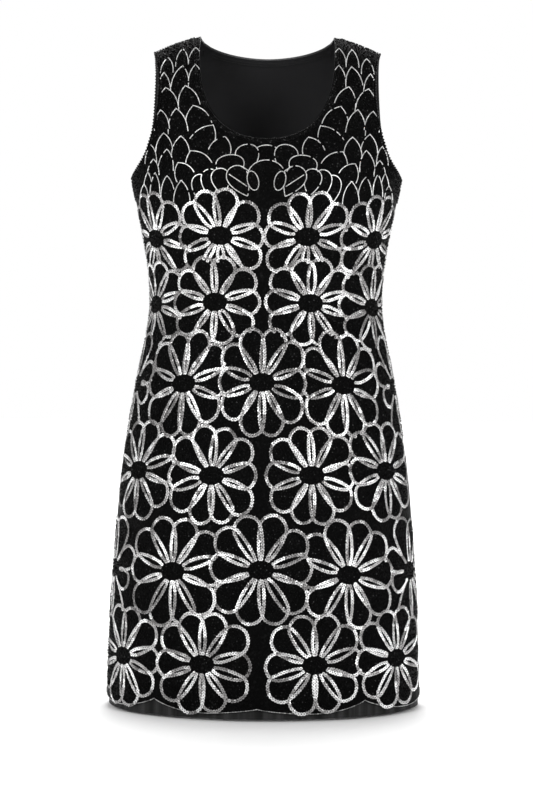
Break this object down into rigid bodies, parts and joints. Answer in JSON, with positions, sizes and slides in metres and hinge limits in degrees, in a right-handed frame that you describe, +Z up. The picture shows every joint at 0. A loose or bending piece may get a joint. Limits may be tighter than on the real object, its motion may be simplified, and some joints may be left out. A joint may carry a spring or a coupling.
{
  "type": "tank dress",
  "caption": "Short sleeveless tank dress, filled out as worn: a beaded shell with a deep round neck and scalloped hem over a plain lining.",
  "frame": {"origin": "midway between the two straps' middles, at the underside of the shoulder seam, where the dress rests on the shoulders", "axes": "+Z up, from hem to shoulders; the front faces -Y; +X towards the right of someone who looks at the front"},
  "size_m": [0.419, 0.2592, 0.8931],
  "materials": {
    "beaded_shell": "satin",
    "lining": "satin",
    "sequins": "gloss",
    "silver_beads": "gloss",
    "black_beads": "gloss"
  },
  "bodies": {
    "root": {"front_shell": "beaded_shell", "back_shell": "beaded_shell", "front_lining": "lining", "back_lining": "lining", "back_neck_facing": "lining"}
  },
  "joints": []
}
